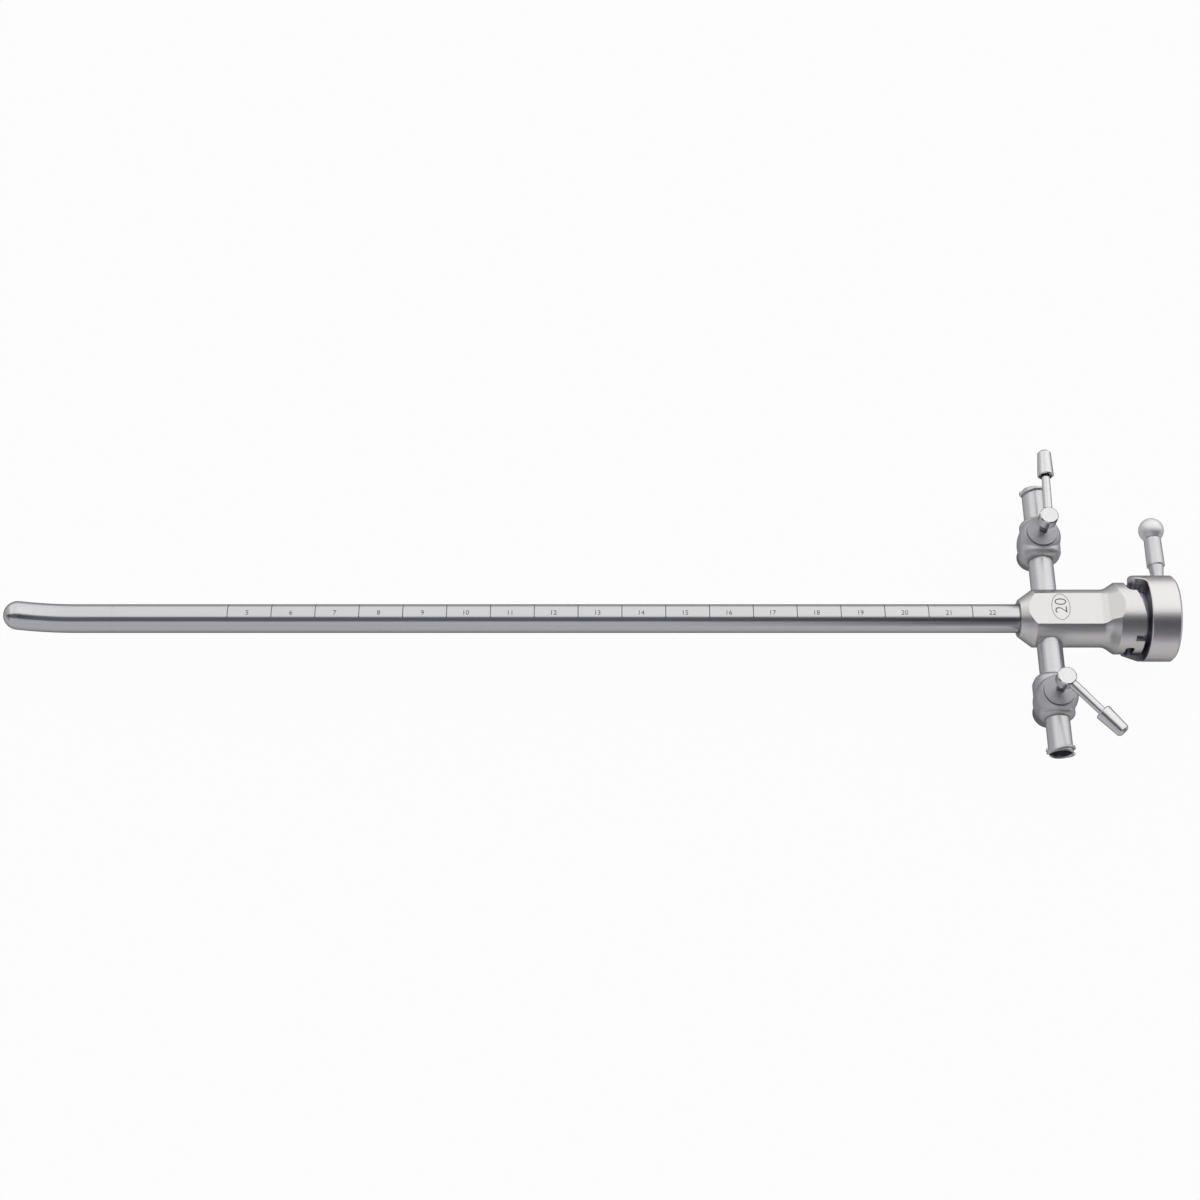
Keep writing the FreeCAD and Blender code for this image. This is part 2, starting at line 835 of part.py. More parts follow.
def outlet_lug(height_sign):
    """Half of the outlet's locking flange, tilted so that a connector's thread draws on to it."""
    disc = rod_along(Z_AXIS, flange_outer_r, -flange_thickness / 2, flange_thickness / 2)
    rims = [Vector(flange_outer_r, 0, z) for z in (-flange_thickness / 2, flange_thickness / 2)]
    disc = disc.makeFillet(flange_edge_fillet, edges_near(disc, rims))
    half = Part.makeBox(4 * flange_outer_r, 2 * flange_outer_r, 4 * flange_thickness)
    corner_y = 0 if height_sign > 0 else -2 * flange_outer_r
    half.translate(Vector(-2 * flange_outer_r, corner_y, -2 * flange_thickness))
    lug = disc.common(half)
    lug.rotate(CENTRE, Y_AXIS, flange_tilt * height_sign)
    lug.translate(Vector(0, 0, outlet_end_distance - flange_setback))
    return lug


def make_outlet_tube(side):
    tube = turned(
        [
            (outlet_inner_end, 0),
            (outlet_inner_end, outlet_outer_r),
            (outlet_end_distance - outlet_mouth_chamfer, outlet_outer_r),
            (outlet_end_distance, outlet_outer_r - outlet_mouth_chamfer / 2),
            (outlet_end_distance, 0),
        ],
        axis="Z",
    )
    bore_end = outlet_end_distance - outlet_bore_depth
    passage = turned(
        [
            (outlet_inner_end - overcut, 0),
            (outlet_inner_end - overcut, flow_r),
            (bore_end - (outlet_bore_r - flow_r), flow_r),
            (bore_end, outlet_bore_r),
            (outlet_end_distance - outlet_mouth_chamfer, outlet_bore_r),
            (outlet_end_distance + overcut, outlet_bore_r + outlet_mouth_chamfer / 2 + overcut / 2),
            (outlet_end_distance + overcut, 0),
        ],
        axis="Z",
    )
    tube = tube.fuse([outlet_lug(1), outlet_lug(-1)]).cut(passage)
    tube.rotate(CENTRE, X_AXIS, -90)
    if side == "left":
        tube.rotate(CENTRE, Z_AXIS, 180)
    tube.translate(Vector(arm_x, 0, 0))
    return tube


def make_plug(side):
    plug = turned(
        [
            (cap_bottom + cap_dome + cap_floor, 0),
            (cap_bottom + cap_dome + cap_floor, plug_stem_r),
            (plug_bottom_z, plug_stem_r),
            (plug_bottom_z, plug_radius(plug_bottom_z)),
            (barrel_top, plug_radius(barrel_top)),
            (head_bottom, plug_radius(barrel_top)),
            (head_bottom, head_r),
            (head_rim_top - head_chamfer, head_r),
            (head_rim_top, head_r - head_chamfer),
            (head_top, lever_foot_r),
            (head_top, lever_spigot_r),
            (head_top - lever_spigot_depth, lever_spigot_r),
            (head_top - lever_spigot_depth, 0),
        ],
        axis="Z",
    )
    bore = rod_along(Y_AXIS, plug_bore_r, -barrel_r, barrel_r)
    return turned_to_lever(plug.cut(bore), side)


def make_spring_washer(side):
    inner = plug_stem_r + running_clearance
    edge = -spring_washer_thickness
    washer = turned(
        [
            (0, spring_washer_r),
            (-spring_washer_dish, inner),
            (edge - spring_washer_dish, inner),
            (edge, spring_washer_r),
        ],
        axis="Z",
    )
    washer.translate(Vector(0, 0, washer_top))
    return turned_to_lever(washer, side)


def make_cap_nut(side):
    wall_bottom = cap_bottom + cap_dome
    dome_r = (cap_r**2 + cap_dome**2) / (2 * cap_dome)
    body = rod_along(Z_AXIS, cap_r, cap_bottom, cap_top)
    dome = Part.makeSphere(dome_r, Vector(0, 0, cap_bottom + dome_r))
    stem_hole = rod_along(Z_AXIS, plug_stem_r, wall_bottom + cap_floor, cap_top + overcut)
    recess = rod_along(Z_AXIS, cap_recess_r, washer_bottom, cap_top + overcut)
    nut = body.common(dome).cut([stem_hole, recess])
    return turned_to_lever(nut, side)


def make_lever(side):
    post = turned(
        [
            (head_top - lever_spigot_depth, 0),
            (head_top - lever_spigot_depth, lever_spigot_r),
            (head_top, lever_spigot_r),
            (head_top, lever_foot_r),
            (head_top + lever_foot_r - lever_neck_r, lever_neck_r),
            (boss_bottom - lever_boss_undercut, lever_neck_top_r),
            (boss_bottom, lever_boss_r - lever_boss_chamfer),
            (boss_bottom + lever_boss_chamfer, lever_boss_r),
            (boss_top - lever_boss_chamfer, lever_boss_r),
            (boss_top, lever_boss_r - lever_boss_chamfer),
            (boss_top, 0),
        ],
        axis="Z",
    )
    root = Vector(0, 0, rod_height)
    rod = Part.makeCone(rod_root_r, rod_end_r, rod_length, root, Y_AXIS)
    return turned_to_lever(post.fuse(rod).removeSplitter(), side)


def rod_radius(distance):
    """The lever rod's radius at a distance from the plug's axis."""
    return rod_root_r + (rod_end_r - rod_root_r) * distance / rod_length


def make_lever_grip(side):
    recess_floor = lever_grip_start + lever_grip_recess_depth
    lip = (lever_grip_near_r - lever_grip_recess_r) / 2
    grip = turned(
        [
            (recess_floor, 0),
            (recess_floor, lever_grip_recess_r),
            (lever_grip_start, lever_grip_recess_r),
            (lever_grip_start, lever_grip_near_r - lip),
            (lever_grip_start + lip, lever_grip_near_r),
            (lever_grip_end - lever_grip_nose, lever_grip_far_r),
            (lever_grip_end, lever_grip_far_r - lever_grip_nose),
            (lever_grip_end, 0),
        ],
        axis="Z",
    )
    rod = Part.makeCone(rod_radius(0), rod_end_r, rod_length, CENTRE, Z_AXIS)
    grip = grip.cut(rod)
    grip.rotate(CENTRE, X_AXIS, -90)
    grip.translate(Vector(0, 0, rod_height))
    return turned_to_lever(grip, side)


def all_parts():
    parts = {
        "sheath_tube": make_sheath_tube(),
        "beak": make_beak(),
        "hub_body": make_hub(),
        "socket_sleeve": make_socket_sleeve(),
        "ring_retainer": make_retainer(),
        "friction_ring": make_friction_ring(),
        "lock_ring": make_lock_ring(),
        "lock_stem": make_lock_stem(),
        "lock_grip": make_lock_grip(),
        "lock_ball": make_lock_ball(),
    }
    for side in ("right", "left"):
        parts[side + "_inlet_tube"] = make_inlet_tube(side)
        parts[side + "_barrel"] = make_barrel(side)
        parts[side + "_outlet_tube"] = make_outlet_tube(side)
        parts[side + "_plug"] = make_plug(side)
        parts[side + "_spring_washer"] = make_spring_washer(side)
        parts[side + "_cap_nut"] = make_cap_nut(side)
        parts[side + "_lever"] = make_lever(side)
        parts[side + "_lever_grip"] = make_lever_grip(side)
    return parts


def main():
    os.makedirs("parts", exist_ok=True)
    for name, shape in all_parts().items():
        box = shape.BoundBox
        print(
            f"{name}: {len(shape.Solids)} solid, valid {shape.isValid()}, {shape.Volume:.2f} mm3, "
            f"x {box.XMin:.2f}..{box.XMax:.2f} y {box.YMin:.2f}..{box.YMax:.2f} "
            f"z {box.ZMin:.2f}..{box.ZMax:.2f}"
        )
        shape.exportStep(f"parts/{name}.step")


main()
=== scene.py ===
import math

import bmesh
import bpy
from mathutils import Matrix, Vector


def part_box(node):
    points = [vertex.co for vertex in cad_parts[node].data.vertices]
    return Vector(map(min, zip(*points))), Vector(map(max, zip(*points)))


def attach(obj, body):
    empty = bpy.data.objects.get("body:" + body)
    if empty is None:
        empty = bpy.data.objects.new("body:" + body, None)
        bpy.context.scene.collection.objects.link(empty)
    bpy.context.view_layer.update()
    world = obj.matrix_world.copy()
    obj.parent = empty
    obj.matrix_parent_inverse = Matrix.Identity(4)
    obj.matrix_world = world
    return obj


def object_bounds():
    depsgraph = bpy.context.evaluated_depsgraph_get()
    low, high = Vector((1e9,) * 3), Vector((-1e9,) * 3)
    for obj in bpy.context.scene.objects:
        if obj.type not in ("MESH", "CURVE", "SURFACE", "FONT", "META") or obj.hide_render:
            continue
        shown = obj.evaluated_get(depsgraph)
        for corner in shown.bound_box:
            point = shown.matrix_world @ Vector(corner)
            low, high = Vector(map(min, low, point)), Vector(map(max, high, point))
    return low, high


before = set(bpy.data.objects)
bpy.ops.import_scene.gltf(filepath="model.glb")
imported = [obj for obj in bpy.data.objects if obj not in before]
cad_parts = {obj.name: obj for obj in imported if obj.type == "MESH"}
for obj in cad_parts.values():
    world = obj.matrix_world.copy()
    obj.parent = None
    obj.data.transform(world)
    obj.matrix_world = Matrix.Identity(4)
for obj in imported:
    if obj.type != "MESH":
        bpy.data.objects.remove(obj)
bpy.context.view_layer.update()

# Looks of a cystoscope sheath. Metres, with real sizes written in millimetres.
# X runs along the sheath towards the user, Y along the stopcock arms, Z up, the lever side.
# An angle round the tube is counted from +Z towards +Y.

MM = 0.001

# Graduated scale, laser marked on the tube. Its ticks are read as centimetres. Its numbers
# can't be read in the photograph, and are guessed from the first tick's distance to the tip.
first_tick_from_tip = 51.4 * MM
tick_spacing = 10.0 * MM
first_number = 5
last_number = 22
tick_width = 0.2 * MM
tick_start_angle = -22.0
tick_end_angle = 64.0
tick_steps = 24
number_height = 1.15 * MM
number_after_tick = 4.5 * MM
number_bands = 8
lettering_steps = 4
mark_lift = 0.008 * MM

# Size mark on the hub's upper flat. Its second figure can't be read in the photograph, and
# the number drawn is the French size that the measured tube comes to.
flat_height = 5.45 * MM
oval_x = -25.1 * MM
oval_y = 0.4 * MM
oval_width = 4.25 * MM
oval_length = 6.6 * MM
oval_stroke = 0.13 * MM
oval_steps = 64
size_text = "20"
size_text_height = 2.7 * MM
size_text_shift = 0.3 * MM
size_text_thinning = -0.012

# Camera, which looks steeply down at the sheath from the left arm's side
camera_elevation = 64.0
camera_distance = 459.0 * MM
camera_aim = Vector((-129.8 * MM, 3.84 * MM, 1.87 * MM))
lens_length = 60.0
sensor_width = 36.0

floor_half_side = 1.5
view_end = 10.0

# How white the table top and the room look to the camera, and to the metal
share_seen = 0.96
share_mirrored = 0.14

# Grains: the lie of one that is alike on all sides, how rough their edges are, and the range
# that their noise keeps to
even = (1.0,) * 3
grain_detail = 3.0
grain_edge = 0.55
noise_range = (0.3, 0.7)

# How much of the tube's relief is its slow waves, and the rest its fine lines
wave_share = 0.9

# Steel reflects a little less at a grazing angle. It is drawn much stronger than real here,
# to give round edges the thin dark outline that they have in the photograph.
grazing_tint = "#96969A"

# Painted shade: tight corners are drawn darker in the colour, as they look in the photograph
crevice_reach = 0.35 * MM
crevice_shade_tone = 0.3
crevice_openness = (0.3, 0.62)
crevice_samples = 6
edge_samples = 4

# Painted shade on the running faces between the collar's rim and the lock ring, which are
# dark in the photograph: a darker, rougher grey there stands for the deep shade in the gap.
rim_shade_x = -10.45 * MM
rim_shade_r = 8.19 * MM
journal_shade_x = (-6.3 * MM, -0.1 * MM)
journal_shade_r = 6.0 * MM
ring_shade_x = (-12.0 * MM, -5.4 * MM)
ring_shade_r = 9.75 * MM
painted_shade_dark = "#9A98A0"
painted_shade_light = "#ACAAB2"
painted_shade_roughness = 0.36

# The nose of the lug on the ball lever's side is left out of the painted shade, because it is
# lighter there
unshaded_nose_x = (-12.0 * MM, -8.0 * MM)
unshaded_nose_y = (0.0, 12.0 * MM)

# The rim slot on the lever side is left out of the painted shade, because its lower wall is
# bright there
unshaded_slot_y = (-9.0 * MM, -5.0 * MM)
unshaded_slot_z = (3.0 * MM, 9.0 * MM)

# Painted shade on the side of a plug's head and the foot of the lever's boss, which are dark
# in the photograph.
seam_z = (4.6 * MM, 5.2 * MM)
boss_foot_z = (5.3 * MM, 7.0 * MM)


# Helpers


def linear(code):
    """A colour written as sRGB hex, turned to linear values with full alpha."""
    channels = [int(code[i : i + 2], 16) / 255 for i in (1, 3, 5)]
    values = [c / 12.92 if c <= 0.04045 else ((c + 0.055) / 1.055) ** 2.4 for c in channels]
    return (*values, 1.0)


def add(tree, kind, settings=None, links=None):
    """Adds one node, sets its options and sockets, and links other nodes' outputs to it."""
    node = tree.nodes.new(kind)
    for name, value in (settings or {}).items():
        if hasattr(node, name):
            setattr(node, name, value)
        else:
            node.inputs[name].default_value = value
    for name, output in (links or {}).items():
        tree.links.new(output, node.inputs[name])
    return node


def new_material(name):
    """An empty node material with its output node."""
    material = bpy.data.materials.new(name)
    material.use_nodes = True
    tree = material.node_tree
    tree.nodes.clear()
    return material, tree


def grain(tree, lie, size, detail=grain_detail):
    """Noise whose grains have a real size in metres, drawn out along the axes where the lie
    has a small value."""
    place = add(tree, "ShaderNodeTexCoord")
    scaled = add(
        tree,
        "ShaderNodeMapping",
        {"Scale": [factor / size for factor in lie]},
        {"Vector": place.outputs["Object"]},
    )
    return add(
        tree,
        "ShaderNodeTexNoise",
        {"Scale": 1.0, "Detail": detail, "Roughness": grain_edge},
        {"Vector": scaled.outputs["Vector"]},
    ).outputs["Fac"]


def spread(tree, value, low, high):
    """Turns a noise value to a range."""
    least, most = noise_range
    return add(
        tree,
        "ShaderNodeMapRange",
        {"From Min": least, "From Max": most, "To Min": low, "To Max": high},
        {"Value": value},
    ).outputs["Result"]


def tinted(tree, value, dark, light):
    """Two steel tones mixed by a noise value."""
    ramp = add(tree, "ShaderNodeValToRGB", links={"Fac": value})
    for element, position, tone in zip(ramp.color_ramp.elements, noise_range, (dark, light)):
        element.position = position
        element.color = linear(tone)
    return ramp.outputs["Color"]


def crevices(tree, colour):
    """Paints shade into a colour: darker in tight corners, found by an ambient occlusion test."""
    open_sky = add(
        tree,
        "ShaderNodeAmbientOcclusion",
        {"samples": crevice_samples, "Distance": crevice_reach},
    )
    shut, free = crevice_openness
    level = add(
        tree,
        "ShaderNodeMapRange",
        {"From Min": shut, "From Max": free, "To Min": crevice_shade_tone, "To Max": 1.0},
        {"Value": open_sky.outputs["AO"]},
    )
    return add(
        tree,
        "ShaderNodeMixRGB",
        {"blend_type": "MULTIPLY", "Fac": 1.0},
        {"Color1": colour, "Color2": level.outputs["Result"]},
    ).outputs["Color"]


def both(tree, first, second):
    """One where two masks are one."""
    joined = add(tree, "ShaderNodeMath", {"operation": "MULTIPLY"})
    tree.links.new(first, joined.inputs[0])
    tree.links.new(second, joined.inputs[1])
    return joined.outputs[0]


def in_range(tree, value, low, high):
    """One where a value lies between two limits."""
    sides = []
    for operation, limit in (("GREATER_THAN", low), ("LESS_THAN", high)):
        side = add(tree, "ShaderNodeMath", {"operation": operation})
        tree.links.new(value, side.inputs[0])
        side.inputs[1].default_value = limit
        sides.append(side.outputs[0])
    return both(tree, *sides)


def between(tree, axis, low, high):
    """One where a point lies between two stations along an axis."""
    place = add(tree, "ShaderNodeTexCoord")
    split = add(tree, "ShaderNodeSeparateXYZ", links={"Vector": place.outputs["Object"]})
    return in_range(tree, split.outputs[axis], low, high)


def outside(tree, mask):
    """One where a mask is nought."""
    rest = add(tree, "ShaderNodeMath", {"operation": "SUBTRACT"})
    rest.inputs[0].default_value = 1.0
    tree.links.new(mask, rest.inputs[1])
    return rest.outputs[0]


def inside_zone(tree, behind_x, in_front_of_x, within_r, beyond_r=0.0):
    """One where a point lies between two stations and two distances from the sheath's axis."""
    place = add(tree, "ShaderNodeTexCoord")
    across = add(
        tree,
        "ShaderNodeMapping",
        {"Scale": (0.0, 1.0, 1.0)},
        {"Vector": place.outputs["Object"]},
    )
    radius = add(tree, "ShaderNodeVectorMath", {"operation": "LENGTH"})
    tree.links.new(across.outputs["Vector"], radius.inputs[0])
    along = between(tree, "X", behind_x, in_front_of_x)
    return both(tree, along, in_range(tree, radius.outputs["Value"], beyond_r, within_r))


def filmed(tree, mask, colour, roughness):
    """Paints shade into a metal: a darker grey and a set roughness where the mask is one.
    It is fitted to the photograph's tones, and it isn't known whether the real sheath has
    such a film."""
    cloud = grain(tree, even, 0.3 * MM)
    shaded_colour = add(
        tree,
        "ShaderNodeMixRGB",
        {"blend_type": "MIX"},
        {"Fac": mask, "Color1": colour, "Color2": tinted(tree, cloud, painted_shade_dark, painted_shade_light)},
    ).outputs["Color"]
    shaded_roughness = add(
        tree,
        "ShaderNodeMix",
        {"data_type": "FLOAT", "B": painted_shade_roughness},
        {"Factor": mask, "A": roughness},
    ).outputs["Result"]
    return shaded_colour, shaded_roughness


def metal(tree, colour, roughness, height, relief, edge_round, shade_mask=None):
    """Metal with relief in its surface and the small rounding that every real edge has.
    Shade is painted into its colour in tight corners, and more painted shade where a mask is
    given."""
    shade = crevices(tree, colour)
    if shade_mask:
        shade, roughness = filmed(tree, shade_mask, shade, roughness)
    rounded = add(tree, "ShaderNodeBevel", {"samples": edge_samples, "Radius": edge_round})
    bump = add(
        tree,
        "ShaderNodeBump",
        {"Strength": 1.0, "Distance": relief},
        {"Height": height, "Normal": rounded.outputs["Normal"]},
    )
    shader = add(
        tree,
        "ShaderNodeBsdfPrincipled",
        {"Metallic": 1.0, "Specular Tint": linear(grazing_tint)},
        {
            "Base Color": shade,
            "Roughness": roughness,
            "Normal": bump.outputs["Normal"],
        },
    )
    add(tree, "ShaderNodeOutputMaterial", links={"Surface": shader.outputs["BSDF"]})


# Finishes


def steel(name, lie, grain_size, tones, roughness, relief, edge_round, shade_zone=None):
    """A steel finish with one grain. The lie says along which axes the grain is drawn out,
    with small values, and the shade zone is a function that makes the mask of painted shade."""
    material, tree = new_material(name)
    marks = grain(tree, lie, grain_size)
    metal(
        tree,
        tinted(tree, marks, *tones),
        spread(tree, marks, *roughness),
        marks,
        relief,
        edge_round,
        shade_mask=shade_zone(tree) if shade_zone else None,
    )
    return material


def polished_tube():
    """Drawn stainless tube, polished lengthwise: a near mirror with faint long lines, and
    slow waves that make its long reflections swell and thin."""
    material, tree = new_material("polished_drawn_stainless")
    lines = grain(tree, (0.01, 1.0, 1.0), 0.15 * MM)
    waves = grain(tree, (0.12, 1.0, 1.0), 6.0 * MM, detail=1.0)
    height = add(
        tree,
        "ShaderNodeMix",
        {"data_type": "FLOAT", "Factor": wave_share},
        {"A": lines, "B": waves},
    ).outputs["Result"]
    metal(
        tree,
        tinted(tree, lines, "#D0D0D2", "#D6D6D8"),
        spread(tree, lines, 0.13, 0.2),
        height,
        relief=0.012 * MM,
        edge_round=0.1 * MM,
    )
    return material


def collar_film(tree):
    """Where shade is painted: the collar's walls under the lock ring, but not the slot."""
    slot = both(tree, between(tree, "Y", *unshaded_slot_y), between(tree, "Z", *unshaded_slot_z))
    running = inside_zone(tree, rim_shade_x, 0.0, rim_shade_r)
    return both(tree, running, outside(tree, slot))


def blasted_hub():
    """Glass-bead blasted stainless casting: an even, soft satin with a very fine grain.
    The grain is drawn at 0.12 mm, about twice its real size, so that it shows."""
    return steel(
        "bead_blasted_stainless_hub",
        lie=even,
        grain_size=0.12 * MM,
        tones=("#DDDBDA", "#E7E5E4"),
        roughness=(0.28, 0.34),
        relief=0.006 * MM,
        edge_round=0.12 * MM,
        # Painted shade on the collar's walls under the lock ring
        shade_zone=collar_film,
    )


def ring_film(tree):
    """Where shade is painted: the lock ring's front face and lugs, but not the nose."""
    nose = both(tree, between(tree, "X", *unshaded_nose_x), between(tree, "Y", *unshaded_nose_y))
    running = inside_zone(tree, *ring_shade_x, ring_shade_r)
    return both(tree, running, outside(tree, nose))


def turned_ring():
    """Fine turned stainless bar: tool lines run round the ring, a tenth of a millimetre apart."""
    return steel(
        "fine_turned_stainless_ring",
        lie=(1.0, 0.01, 0.01),
        grain_size=0.1 * MM,
        tones=("#E3E0E0", "#E9E6E6"),
        roughness=(0.29, 0.31),
        relief=0.0004 * MM,
        edge_round=0.12 * MM,
        # Painted shade on the lock ring's front face and lugs
        shade_zone=ring_film,
    )


def satin_arm():
    """Stainless arms turned and rubbed with fine abrasive: satin, with short lines round them."""
    return steel(
        "satin_stainless_arm",
        lie=(0.02, 1.0, 0.02),
        grain_size=0.1 * MM,
        tones=("#D2D1D3", "#DAD9DA"),
        roughness=(0.32, 0.36),
        relief=0.0015 * MM,
        edge_round=0.1 * MM,
    )


def tumbled_ball():
    """A stainless ball tumbled in ceramic media: pale and softly matt, alike on all sides."""
    return steel(
        "tumbled_stainless_ball",
        lie=even,
        grain_size=0.1 * MM,
        tones=("#F0EFF0", "#F5F4F5"),
        roughness=(0.46, 0.52),
        relief=0.0015 * MM,
        edge_round=0.1 * MM,
    )


def boss_foot_film(tree):
    """Where shade is painted: the foot of the lever's boss, just over the plug's head."""
    return between(tree, "Z", *boss_foot_z)


def polished_lever():
    """Turned stainless handles, polished on a soft wheel: bright, with clear dark and light
    lines."""
    return steel(
        "polished_stainless_lever",
        lie=(0.3, 0.3, 1.0),
        grain_size=0.2 * MM,
        tones=("#DCDCDD", "#E4E4E4"),
        roughness=(0.13, 0.18),
        relief=0.0015 * MM,
        edge_round=0.1 * MM,
        # Painted shade on the foot of the boss
        shade_zone=boss_foot_film,
    )


def seam_film(tree):
    """Where shade is painted: the side of the plug's head, next to the seat."""
    return between(tree, "Z", *seam_z)


def blasted_plug():
    """The plug's head and its cap, drawn as if blasted coarser than the body round them, and
    set to the darker grey of the photograph."""
    return steel(
        "coarse_blasted_stainless_plug",
        lie=even,
        grain_size=0.16 * MM,
        tones=("#A2A2A6", "#B0B0B4"),
        roughness=(0.38, 0.46),
        relief=0.006 * MM,
        edge_round=0.08 * MM,
        # Painted shade on the side of the head
        shade_zone=seam_film,
    )


def blasted_barrel():
    """Blasted stopcock bodies, a little darker and softer than the turned pieces."""
    return steel(
        "blasted_stainless_stopcock",
        lie=even,
        grain_size=0.12 * MM,
        tones=("#CACACE", "#D6D6D9"),
        roughness=(0.42, 0.5),
        relief=0.006 * MM,
        edge_round=0.15 * MM,
    )


def journal_film(tree):
    """Where shade is painted: the sleeve's outside, where the lock ring turns on it."""
    return inside_zone(tree, *journal_shade_x, ring_shade_r, journal_shade_r)


def bright_bore():
    """Reamed stainless inside the socket: bright, with fine lines round the bore."""
    return steel(
        "reamed_stainless_bore",
        lie=(1.0, 0.02, 0.02),
        grain_size=0.15 * MM,
        tones=("#EAEAEC", "#F2F2F2"),
        roughness=(0.12, 0.2),
        relief=0.004 * MM,
        edge_round=0.05 * MM,
        # Painted shade on the sleeve's outside, under the lock ring
        shade_zone=journal_film,
    )


def spring_steel():
    """Blued-grey spring steel, rolled and tumbled."""
    return steel(
        "rolled_spring_steel",
        lie=even,
        grain_size=0.8 * MM,
        tones=("#7C7D80", "#8E8F92"),
        roughness=(0.3, 0.45),
        relief=0.004 * MM,
        edge_round=0.05 * MM,
    )


def friction_plastic():
    """Skived fluoropolymer washer: milky, waxy and slightly uneven."""
    material, tree = new_material("skived_fluoropolymer")
    cloud = grain(tree, even, 0.6 * MM)
    shader = add(
        tree,
        "ShaderNodeBsdfPrincipled",
        {"IOR": 1.38},
        {
            "Base Color": tinted(tree, cloud, "#DEDDD6", "#ECEBE6"),
            "Roughness": spread(tree, cloud, 0.4, 0.5),
        },
    )
    add(tree, "ShaderNodeOutputMaterial", links={"Surface": shader.outputs["BSDF"]})
    return material


def laser_mark(name, dark, light):
    """Laser annealed marking: a thin oxide, matt and a little uneven in tone."""
    material, tree = new_material(name)
    cloud = grain(tree, even, 0.2 * MM)
    shader = add(
        tree,
        "ShaderNodeBsdfPrincipled",
        {"Metallic": 0.3},
        {
            "Base Color": tinted(tree, cloud, dark, light),
            "Roughness": spread(tree, cloud, 0.45, 0.6),
        },
    )
    add(tree, "ShaderNodeOutputMaterial", links={"Surface": shader.outputs["BSDF"]})
    return material


def dress_frame():
    """Gives every CAD node its finish. The materials are steel and a plain plastic, and the
    processes are read from how each surface looks, so they are guesses."""
    tube = polished_tube()
    hub = blasted_hub()
    ring = turned_ring()
    arm = satin_arm()
    ball = tumbled_ball()
    barrel = blasted_barrel()
    plug = blasted_plug()
    handle = polished_lever()
    bore = bright_bore()
    spring = spring_steel()
    finishes = {
        "sheath_tube": tube,
        "beak": tube,
        "hub_body": hub,
        "socket_sleeve": bore,
        "ring_retainer": bore,
        "friction_ring": friction_plastic(),
        "lock_ring": ring,
        "lock_stem": arm,
        "lock_grip": arm,
        "lock_ball": ball,
    }
    for side in ("right", "left"):
        finishes[side + "_inlet_tube"] = arm
        finishes[side + "_outlet_tube"] = arm
        finishes[side + "_barrel"] = barrel
        finishes[side + "_plug"] = plug
        finishes[side + "_cap_nut"] = plug
        finishes[side + "_lever"] = handle
        finishes[side + "_lever_grip"] = handle
        finishes[side + "_spring_washer"] = spring
    for name, material in finishes.items():
        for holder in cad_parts[name].material_slots:
            holder.material = material


# Markings


def add_mark(name, mesh_maker, material, body="sheath"):
    """Makes one thin marking from a bmesh and lets it ride on a body."""
    marks = bmesh.new()
    mesh_maker(marks)
    mesh = bpy.data.meshes.new(name)
    marks.to_mesh(mesh)
    marks.free()
    mesh.materials.append(material)
    piece = bpy.data.objects.new(name, mesh)
    bpy.context.scene.collection.objects.link(piece)
    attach(piece, body)
    return piece


def on_tube(x, angle, radius):
    """The point at a station and an angle round the tube."""
    turn = math.radians(angle)
    return Vector((x, radius * math.sin(turn), radius * math.cos(turn)))


def text_outline(text, height, thinning=0.0):
    """A flat bmesh of a word in the XY plane, centred, with its height set."""
    curve = bpy.data.curves.new("lettering", "FONT")
    curve.body = text
    curve.offset = thinning
    curve.resolution_u = lettering_steps
    holder = bpy.data.objects.new("lettering", curve)
    bpy.context.scene.collection.objects.link(holder)
    mesh = bpy.data.meshes.new_from_object(holder)
    bpy.data.objects.remove(holder)
    bpy.data.curves.remove(curve)
    flat = bmesh.new()
    flat.from_mesh(mesh)
    bpy.data.meshes.remove(mesh)
    low = Vector([min(along) for along in zip(*(v.co for v in flat.verts))])
    high = Vector([max(along) for along in zip(*(v.co for v in flat.verts))])
    factor = height / (high.y - low.y)
    for vertex in flat.verts:
        vertex.co = (vertex.co - (low + high) / 2) * factor
    return flat


def copy_faces(target, source, place):
    """Adds a bmesh's faces to another, each point moved by a function."""
    made = {vertex: target.verts.new(place(vertex.co)) for vertex in source.verts}
    for face in source.faces:
        target.faces.new([made[vertex] for vertex in face.verts])


def make_ticks(marks):
    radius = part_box("sheath_tube")[1].z + mark_lift
    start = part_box("beak")[0].x + first_tick_from_tip
    for index in range(last_number - first_number + 1):
        x = start + index * tick_spacing
        rows = []
        for step in range(tick_steps + 1):
            share = step / tick_steps
            angle = tick_start_angle + share * (tick_end_angle - tick_start_angle)
            ends = (x - tick_width / 2, x + tick_width / 2)
            rows.append([marks.verts.new(on_tube(end, angle, radius)) for end in ends])
        for row, following in zip(rows, rows[1:]):
            marks.faces.new([row[0], row[1], following[1], following[0]])


def make_numbers(marks):
    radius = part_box("sheath_tube")[1].z + mark_lift
    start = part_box("beak")[0].x + first_tick_from_tip + number_after_tick
    for number in range(first_number, last_number + 1):
        x = start + (number - first_number) * tick_spacing
        flat = text_outline(str(number), number_height)
        for band in range(1, number_bands):
            level = number_height * (band / number_bands - 0.5)
            bmesh.ops.bisect_plane(
                flat,
                geom=flat.verts[:] + flat.edges[:] + flat.faces[:],
                plane_co=(0, level, 0),
                plane_no=(0, 1, 0),
            )
        copy_faces(
            marks, flat, lambda co: on_tube(x + co.x, math.degrees(co.y / radius), radius)
        )
        flat.free()


